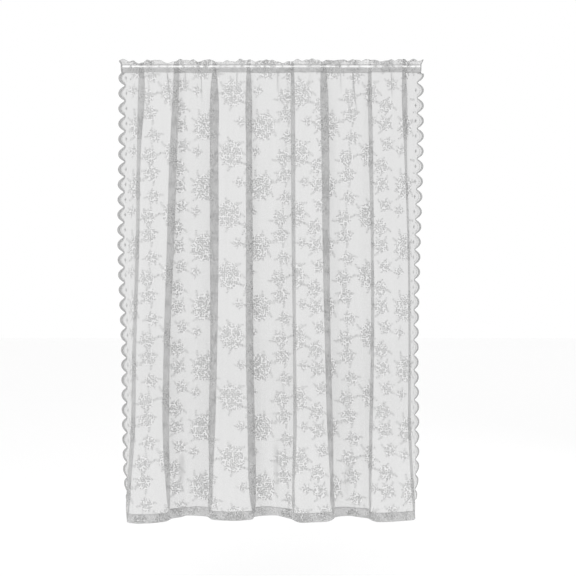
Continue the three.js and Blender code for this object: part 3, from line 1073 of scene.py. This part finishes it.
def bouquet(kind):
    """A bouquet's shapes: blooms, the sprigs around them, and dots."""
    parts = BOUQUETS[kind]
    shapes = []
    for size, turn, x, y in parts["blooms"]:
        shapes += moved(bloom(size, turn), x, y)
    for x, y, turn, bend, pairs in parts["sprigs"]:
        shapes += moved(sprig(*parts["sprig_size"], turn, bend, pairs), x, y)
    for x, y in parts["dots"]:
        shapes.append(dot(parts["dot_size"], x, y))
    return shapes


# The repeat of bouquets over the flat cloth. x and y are shares of it.
REPEAT_WIDTH = FLAT_WIDTH / 4.5
REPEAT_HEIGHT = 209.0
REPEAT_START = -58.0
PATTERN_MARGIN = 30.0
# Where a spray starts to fade and where it ends, as shares of its reach, and where the
# pattern begins at the cloth's sides, as shares of its margin
SPRAY_FADE = (0.6, 1.1)
MARGIN_FADE = (0.8, 1.4)
SPRAYS = [
    {"kind": "large", "x": 0.25, "y": 0.25, "turn": 0.2, "size": 1.0},
    {"kind": "large", "x": 0.75, "y": 0.72, "turn": -0.3, "size": 1.0},
    {"kind": "small", "x": 0.49, "y": 0.06, "turn": 0.6, "size": 1.0},
    {"kind": "small", "x": 0.52, "y": 0.43, "turn": -0.9, "size": 0.85},
    {"kind": "small", "x": 0.47, "y": 0.77, "turn": 2.2, "size": 1.0},
    {"kind": "small", "x": 0.98, "y": 0.24, "turn": 1.4, "size": 0.95},
    {"kind": "small", "x": 0.02, "y": 0.57, "turn": 3.0, "size": 0.8},
    {"kind": "small", "x": 0.97, "y": 0.93, "turn": -0.4, "size": 1.0},
    {"kind": "small", "x": 0.17, "y": 0.66, "turn": 1.0, "size": 0.6},
    {"kind": "small", "x": 0.84, "y": 0.19, "turn": 2.5, "size": 0.6},
]


def spray_density(across, down):
    """How far places of the flat cloth are worked with flowers, from 0 to 1."""
    total = np.zeros_like(across)
    for item in SPRAYS:
        wide, high = BOUQUETS[item["kind"]]["reach"]
        x = (across / REPEAT_WIDTH - item["x"] + 0.5) % 1 - 0.5
        y = ((down - REPEAT_START) / REPEAT_HEIGHT - item["y"] + 0.5) % 1 - 0.5
        cos, sin = math.cos(item["turn"]), math.sin(item["turn"])
        along = (x * REPEAT_WIDTH * cos + y * REPEAT_HEIGHT * sin) / (wide * item["size"])
        beside = (y * REPEAT_HEIGHT * cos - x * REPEAT_WIDTH * sin) / (high * item["size"])
        total = np.maximum(total, 1 - smooth_step(np.hypot(along, beside), *SPRAY_FADE))
    nearest_edge = np.minimum(across, FLAT_WIDTH - across)
    return total * smooth_step(nearest_edge, *(PATTERN_MARGIN * part for part in MARGIN_FADE))


def in_gather(outline):
    """Whether a shape is drawn into the folds of the pocket or header."""
    across, down = outline.mean(axis=0)
    if down > SEAM_DROP + 2:
        return False
    x = CLOTH.place(np.array([across]), np.array([down]))[0, 0]
    return any(abs(x - fold["x"][0]) < fold["lap"][0] / 2 + FOLD_MARGIN for fold in FOLDS)


def build_flowers(settings):
    """The floral repeat, drawn as a generic spray and laid over the cloth.

    The hem's hidden turns stay plain."""
    kinds = {kind: bouquet(kind) for kind in BOUQUETS}
    patches = Patches(settings.flower_lift)
    for item in SPRAYS:
        cos, sin = math.cos(item["turn"]), math.sin(item["turn"])
        turned = np.array([[cos, sin], [-sin, cos]]) * item["size"]
        shapes = [np.array(shape) @ turned for shape in kinds[item["kind"]]]
        for row in range(-1, int((PANEL_DROP - REPEAT_START) / REPEAT_HEIGHT) + 1):
            for column in range(-1, int(FLAT_WIDTH / REPEAT_WIDTH) + 1):
                x = (column + item["x"]) * REPEAT_WIDTH
                y = REPEAT_START + (row + item["y"]) * REPEAT_HEIGHT
                for shape in shapes:
                    outline = shape + (x, y)
                    left, top = outline.min(axis=0)
                    right, bottom = outline.max(axis=0)
                    beside = left > PATTERN_MARGIN and right < FLAT_WIDTH - PATTERN_MARGIN
                    inside = beside and top > BACK_TOP + 2 and bottom < PANEL_DROP - 1
                    if inside and not in_gather(outline):
                        patches.add(outline)
    return patches.piece("lace_flowers", cloth_work_material(settings))


# How full the edging is beside the header, its turns of thread a metre, and its steps
HEADER_FULLNESS = 0.2
EDGING_TURNS = 900.0
HEADER_EDGE_STEPS = 14
STEPS_PER_SCALLOP = 16


def edge_line(notch_drop, from_right, widths=0.0):
    """Places of the flat cloth along a side's scallops, or widths inside that edge.

    The widths are square to the edge, so the band keeps its width on the scallops' slopes."""
    upper = np.linspace(1 - HEADER_HEIGHT, SEAM_DROP, HEADER_EDGE_STEPS)
    lower = np.arange(SEAM_DROP + 2, SCALLOPS_END, SCALLOP_PITCH / STEPS_PER_SCALLOP)
    drops = np.concatenate([upper, lower])
    inset = edge_inset(drops, notch_drop)
    inset = inset + widths * np.sqrt(1 + np.gradient(inset, drops) ** 2)
    hung_widths = np.interp(drops, CLOTH.rows["flat"], CLOTH.lengths[:, -1])
    flat_inset = inset * FLAT_WIDTH / hung_widths
    return (FLAT_WIDTH - flat_inset if from_right else flat_inset), drops


def build_edging(settings):
    """A dense crescent along every scallop, thick at the tip and fine at the notch."""
    vertices = []
    flats = []
    faces = []
    for notch_drop, from_right in SIDES:
        outer, drops = edge_line(notch_drop, from_right)
        scallop_fullness = 1 - from_tip(drops, notch_drop) ** 2
        fullness = np.where(drops < SEAM_DROP + 1, HEADER_FULLNESS, scallop_fullness)
        widths = settings.edging_notch + (settings.edging_tip - settings.edging_notch) * fullness
        widths = widths * (1.0 if from_right else settings.edging_left_share)
        inner, drops = edge_line(notch_drop, from_right, widths)
        rings = []
        for places, lift in ((outer, 1), (inner, 1), (inner, -1), (outer, -1)):
            rings.append(CLOTH.place(places, drops, lift * settings.edging_thickness / 2))
            flats.append(np.stack([places, drops], axis=1))
        start = sum(len(part) for part in vertices)
        count = len(drops)
        vertices.append(np.concatenate(rings))
        for ring in range(4):
            here = start + ring * count
            after = start + ((ring + 1) % 4) * count
            for k in range(count - 1):
                face = [here + k, here + k + 1, after + k + 1, after + k]
                faces.append(face if not from_right else face[::-1])
        for k in (0, count - 1):
            cap = [start + ring * count + k for ring in range(4)]
            faces.append(cap if (k == 0) != from_right else cap[::-1])
    material = cord_material(
        "lace_edging", settings.edging_grey, settings.edging_cover, EDGING_TURNS
    )
    return make_piece(
        "scallop_edging", np.concatenate(vertices), faces, np.concatenate(flats), material
    )


# A scallop's fan: leaves whose stems meet inside the tip, and an arc of dots around them.
# Lengths are millimetres, and places are inside the line of the tips.
FAN_STEM = 33
FAN_LEAF = (9, 3.0)
FAN_LEAF_TURNS = (-0.9, 0.0, 0.9)
FAN_MIDDLE = 31
FAN_RADIUS = 17
FAN_DOT = 1.6
FAN_DOT_TURN = 0.36
FAN_DOTS_BESIDE = 3
FIRST_FAN_DROP = SEAM_DROP + 12


def build_scallop_fans(settings):
    """Inside each scallop, a small fan of leaves under an arc of dots."""
    patches = Patches(settings.flower_lift)
    for notch_drop, from_right in SIDES:
        sign = -1 if from_right else 1
        edge = FLAT_WIDTH if from_right else 0.0
        tip = notch_drop - SCALLOP_PITCH / 2
        while tip < SCALLOPS_END - SCALLOP_PITCH / 3:
            if tip > FIRST_FAN_DROP:
                for k in range(-FAN_DOTS_BESIDE, FAN_DOTS_BESIDE + 1):
                    turn = k * FAN_DOT_TURN
                    x = edge + sign * (FAN_MIDDLE - FAN_RADIUS * math.cos(turn))
                    patches.add(dot(FAN_DOT, x, tip + FAN_RADIUS * math.sin(turn)))
                for turn in FAN_LEAF_TURNS:
                    angle = math.pi - turn if sign > 0 else turn
                    patches.add(leaf(*FAN_LEAF, angle, edge + sign * FAN_STEM, tip))
            tip += SCALLOP_PITCH
    return patches.piece("scallop_fans", cloth_work_material(settings))


# Where the pocket, the header and the hem are sewn, and how the stitches lie
STITCH_FLATS = (SEAM_DROP - 1.2, -HEADER_SEAM, HEM_TOP + 1.5)
STITCH_MARGIN = PATTERN_MARGIN * 0.6
STITCH_SHARE = 0.72
STITCH_LIFT = 0.25
STITCH_COVER = 0.85
STITCH_TURNS = 1500.0


def build_stitches(settings):
    """Short straight stitches along the pocket, the header and the hem."""
    patches = Patches(settings.flower_lift + STITCH_LIFT)
    half = settings.stitch_width / 2
    for y in STITCH_FLATS:
        x = STITCH_MARGIN
        while x < FLAT_WIDTH - STITCH_MARGIN:
            end = x + settings.stitch_length * STITCH_SHARE
            patches.add([(x, y - half), (x, y + half), (end, y + half), (end, y - half)])
            x += settings.stitch_length
    material = cord_material("stitching", settings.edging_grey, STITCH_COVER, STITCH_TURNS)
    return patches.piece("seam_stitches", material)


# A pleat's rows, its lift over the flowers, how evenly it drifts, the width left at its end
# and its turns of thread a metre
PLEAT_ROWS = 13
PLEAT_LIFT = 0.15
PLEAT_DRIFT = 0.6
PLEAT_END = 0.2
PLEAT_TURNS = 700.0


def build_pleats(settings):
    """Narrow pleats of doubled net that hang from the pocket's seam and thin out."""
    patches = Patches(settings.flower_lift + PLEAT_LIFT)
    for pleat in PLEATS:
        rows = []
        for t in np.linspace(0, 1, PLEAT_ROWS):
            drop = SEAM_DROP + 1 + t * (pleat["to"] - SEAM_DROP - 1)
            x = pleat["x"] + pleat["drift"] * t * (PLEAT_DRIFT + (1 - PLEAT_DRIFT) * t)
            half = pleat["width"] * (1 - t**3) / 2 + PLEAT_END
            middle = CLOTH.flat_under(x, drop)
            rows.append([(middle - half, drop), (middle + half, drop)])
        for upper, lower in zip(rows, rows[1:]):
            patches.add([upper[0], lower[0], lower[1], upper[1]])
    material = cord_material(
        "pleated_net", settings.cloth_grey, settings.pleat_cover, PLEAT_TURNS
    )
    return patches.piece("pinched_pleats", material)


ROD_SIDES = 48
ROD_EASE = 0.0008
EASE_MIDDLE = 0.3


def build_rod(settings):
    """The slim round rod with softly turned ends."""
    low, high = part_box("curtain_rod")
    radius = (high[2] - low[2]) / 2
    part = ROD_EASE * EASE_MIDDLE
    end = [(0.0, radius - ROD_EASE), (part, radius - part), (ROD_EASE, radius)]
    rings = [(low[0] + inset, size) for inset, size in end]
    rings += [(high[0] - inset, size) for inset, size in reversed(end)]
    vertices = []
    for x, size in rings:
        for k in range(ROD_SIDES):
            turn = 2 * math.pi * k / ROD_SIDES
            vertices.append((x / MM, size * math.cos(turn) / MM, size * math.sin(turn) / MM))
    faces = []
    for here in range(0, len(vertices) - ROD_SIDES, ROD_SIDES):
        after = here + ROD_SIDES
        for k in range(ROD_SIDES):
            beside = (k + 1) % ROD_SIDES
            faces.append([here + k, after + k, after + beside, here + beside])
    faces.append(list(range(ROD_SIDES)))
    faces.append(list(range(len(vertices) - 1, len(vertices) - ROD_SIDES - 1, -1)))
    flats = [vertex[:2] for vertex in vertices]
    rod = make_piece("white_rod", vertices, faces, flats, enamel_material(settings))
    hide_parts("curtain_rod")
    return rod


class LaceSettings(bpy.types.PropertyGroup):
    """Sizes and shades of the lace."""

    net_pitch: FloatProperty(
        name="Net pitch", description="Distance between net threads, mm", default=2.3, min=0.5
    )
    net_cover: FloatProperty(
        name="Net cover", description="Share of the net that is thread", default=0.46,
        min=0, max=1, subtype="FACTOR",
    )
    net_contrast: FloatProperty(
        name="Net contrast", description="How far threads stand out", default=0.26, min=0, max=1
    )
    cloth_grey: FloatProperty(
        name="Net shade", description="Grey of the net's thread", default=0.465, min=0, max=1
    )
    flower_grey: FloatProperty(
        name="Flower shade", description="Grey of the flowers", default=0.27, min=0, max=1
    )
    flower_cover: FloatProperty(
        name="Flower cover", description="Density of the flowers", default=0.9, min=0, max=1
    )
    flower_lift: FloatProperty(
        name="Flower lift", description="Height of the flowers over the net, mm", default=0.3
    )
    knot_pitch: FloatProperty(
        name="Knot pitch", description="Distance between a spray's knots, mm", default=7.0
    )
    knot_contrast: FloatProperty(
        name="Knot contrast", description="How dense the knots are", default=0.7
    )
    pocket_extra: FloatProperty(
        name="Pocket cover", description="Extra cover in the pocket", default=0.12
    )
    header_extra: FloatProperty(
        name="Header cover", description="Extra cover in the header", default=-0.17
    )
    hem_extra: FloatProperty(
        name="Hem cover", description="Extra cover in the hem", default=-0.11
    )
    # Cover where threads crowd, and the painted shade of creases.
    crowding_and_shade_cover: FloatProperty(
        name="Gather cover", description="Extra cover where threads crowd", default=0.26
    )
    slit_top: FloatProperty(
        name="Slit top", description="Top of the thin row over the rod, mm", default=-4.5
    )
    slit_bottom: FloatProperty(
        name="Slit bottom", description="Bottom of the thin row over the rod, mm", default=3.2
    )
    slit_thinning: FloatProperty(
        name="Slit thinning", description="Share of thread missing there", default=0.85,
        min=0, max=1,
    )
    edging_tip: FloatProperty(
        name="Edging at tip", description="Width of the edging at a scallop's tip, mm", default=7.2
    )
    edging_notch: FloatProperty(
        name="Edging at notch", description="Width of the edging at a notch, mm", default=2.6
    )
    edging_left_share: FloatProperty(
        name="Left edging share", description="Width of the left edging over the right one",
        default=1.45,
    )
    edging_thickness: FloatProperty(
        name="Edging thickness", description="Thickness of the edging, mm", default=1.2
    )
    edging_grey: FloatProperty(
        name="Edging shade", description="Grey of the edging", default=0.40, min=0, max=1
    )
    edging_cover: FloatProperty(
        name="Edging cover", description="Density of the edging", default=0.40, min=0, max=1
    )
    pleat_cover: FloatProperty(
        name="Pleat cover", description="Density of the pinched pleats", default=0.62, min=0, max=1
    )
    stitch_length: FloatProperty(
        name="Stitch length", description="Distance between stitches, mm", default=4.0
    )
    stitch_width: FloatProperty(
        name="Stitch width", description="Width of a stitch, mm", default=1.5
    )
    rod_grey: FloatProperty(
        name="Rod shade", description="Grey of the enamel", default=0.93, min=0, max=1
    )
    # Painted glow of the rod: emission that brightens it inside the pocket, though it is no lamp.
    rod_painted_glow: FloatProperty(
        name="Rod glow", description="Light that the enamel scatters in the pocket", default=0.12
    )


class StageSettings(bpy.types.PropertyGroup):
    """Camera, floor and light."""

    camera_distance: FloatProperty(
        name="Camera distance", description="From the rod's plane", default=2.5,
        unit="LENGTH",
    )
    camera_x: FloatProperty(
        name="Camera x", description="Sideways from the rod's middle", default=0.0586,
        unit="LENGTH",
    )
    camera_z: FloatProperty(
        name="Camera height", description="Above the rod's axis", default=-0.7624,
        unit="LENGTH",
    )
    view_width: FloatProperty(
        name="View width", description="Width seen at the rod's plane", default=1.986,
        unit="LENGTH",
    )
    floor_gap: FloatProperty(
        name="Floor gap", description="From the hem down to the floor", default=0.35,
        unit="LENGTH",
    )
    sky_strength: FloatProperty(
        name="Sky strength", description="Brightness all round", default=1.0
    )
    layers_seen_through: IntProperty(
        name="Layers seen through", description="Most layers of lace a view passes", default=40
    )
    key_power: FloatProperty(
        name="Key power", description="Power of the soft key light", default=14.0,
        unit="POWER",
    )


# The stage: the camera's sensor in millimetres, the floor's reach in metres, and the lamps,
# each with its place, its turn in degrees and its share of the key light's power
SENSOR_WIDTH = 36.0
FLOOR_REACH = 14.0
LAMP_SIZE = 1.6
LAMPS = [
    {"name": "key", "place": (-1.9, -2.2, 0.6), "turn": (62, 0, -40), "share": 1.0},
    {"name": "rim", "place": (2.2, 1.4, 0.3), "turn": (68, 0, 120), "share": 0.6},
]


def build_camera(context, settings):
    """The camera, square to the panel and about level with its middle."""
    data = bpy.data.cameras.new("view")
    data.sensor_width = SENSOR_WIDTH
    data.lens = SENSOR_WIDTH * settings.camera_distance / settings.view_width
    camera = bpy.data.objects.new("view", data)
    camera.location = (settings.camera_x, -settings.camera_distance, settings.camera_z)
    camera.rotation_euler = (math.pi / 2, 0, 0)
    context.collection.objects.link(camera)
    context.scene.camera = camera


def build_floor(context, settings):
    """A pale floor under the hem."""
    level = CAD_BOUNDS[0][2] - settings.floor_gap
    corners = [
        (x * FLOOR_REACH, y * FLOOR_REACH, level) for x, y in ((-1, -1), (1, -1), (1, 1), (-1, 1))
    ]
    mesh = bpy.data.meshes.new("floor")
    mesh.from_pydata(corners, [], [(0, 1, 2, 3)])
    shader = Shader("pale_floor", 0.9)
    material = shader.surface(
        Base_Color=shader.shade(shader.noise(3.0), 0.90, 0.92),
        Roughness=0.9,
        Emission_Color=grey(1.0),
        Emission_Strength=0.06,
    )
    mesh.materials.append(material)
    floor = bpy.data.objects.new("floor", mesh)
    context.collection.objects.link(floor)


def build_lights(context, settings):
    """An even pale sky and two soft lamps."""
    world = bpy.data.worlds.new("pale_sky")
    world.use_nodes = True
    sky = world.node_tree.nodes["Background"]
    sky.inputs["Color"].default_value = grey(1.0)
    sky.inputs["Strength"].default_value = settings.sky_strength
    context.scene.world = world
    for item in LAMPS:
        data = bpy.data.lights.new(item["name"], "AREA")
        data.energy = settings.key_power * item["share"]
        data.size = LAMP_SIZE
        lamp = bpy.data.objects.new(item["name"], data)
        lamp.location = item["place"]
        lamp.rotation_euler = [math.radians(angle) for angle in item["turn"]]
        context.collection.objects.link(lamp)


class CURTAIN_OT_stage(bpy.types.Operator):
    """Camera, pale floor and plain soft light"""

    bl_idname = "curtain.stage"
    bl_label = "Stage"

    def execute(self, context):
        settings = context.scene.curtain_stage
        build_camera(context, settings)
        build_lights(context, settings)
        build_floor(context, settings)
        context.scene.view_settings.view_transform = "Standard"
        context.scene.cycles.transparent_max_bounces = settings.layers_seen_through
        return {"FINISHED"}


class CURTAIN_OT_rod(bpy.types.Operator):
    """Slim white rod inside the pocket"""

    bl_idname = "curtain.rod"
    bl_label = "Rod"

    def execute(self, context):
        build_rod(context.scene.curtain_lace)
        return {"FINISHED"}


class CURTAIN_OT_panel(bpy.types.Operator):
    """Lace panel: net, flowers, scalloped edging and stitches"""

    bl_idname = "curtain.lace_panel"
    bl_label = "Lace panel"

    def execute(self, context):
        settings = context.scene.curtain_lace
        cloth = build_cloth(settings)
        trims = [
            build_flowers(settings),
            build_edging(settings),
            build_scallop_fans(settings),
            build_stitches(settings),
            build_pleats(settings),
        ]
        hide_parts("lace_panel")
        return {"FINISHED"}


class CURTAIN_PT_sidebar(bpy.types.Panel):
    """Lists the curtain's pieces and their settings"""

    bl_idname = "CURTAIN_PT_sidebar"
    bl_label = "Lace curtain"
    bl_space_type = "VIEW_3D"
    bl_region_type = "UI"
    bl_category = "Curtain"

    def draw(self, context):
        layout = self.layout
        for operator in STEPS:
            layout.operator(operator.bl_idname)
        for settings in (context.scene.curtain_lace, context.scene.curtain_stage):
            box = layout.box()
            for name in settings.bl_rna.properties.keys():
                if name not in ("rna_type", "name"):
                    box.prop(settings, name)


STEPS = (CURTAIN_OT_stage, CURTAIN_OT_rod, CURTAIN_OT_panel)
CLASSES = (LaceSettings, StageSettings, *STEPS, CURTAIN_PT_sidebar)


def register():
    for cls in CLASSES:
        bpy.utils.register_class(cls)
    bpy.types.Scene.curtain_lace = PointerProperty(type=LaceSettings)
    bpy.types.Scene.curtain_stage = PointerProperty(type=StageSettings)


def unregister():
    del bpy.types.Scene.curtain_stage
    del bpy.types.Scene.curtain_lace
    for cls in reversed(CLASSES):
        bpy.utils.unregister_class(cls)


def main():
    register()
    bpy.ops.curtain.stage()
    bpy.ops.curtain.rod()
    bpy.ops.curtain.lace_panel()


if __name__ == "__main__":
    main()
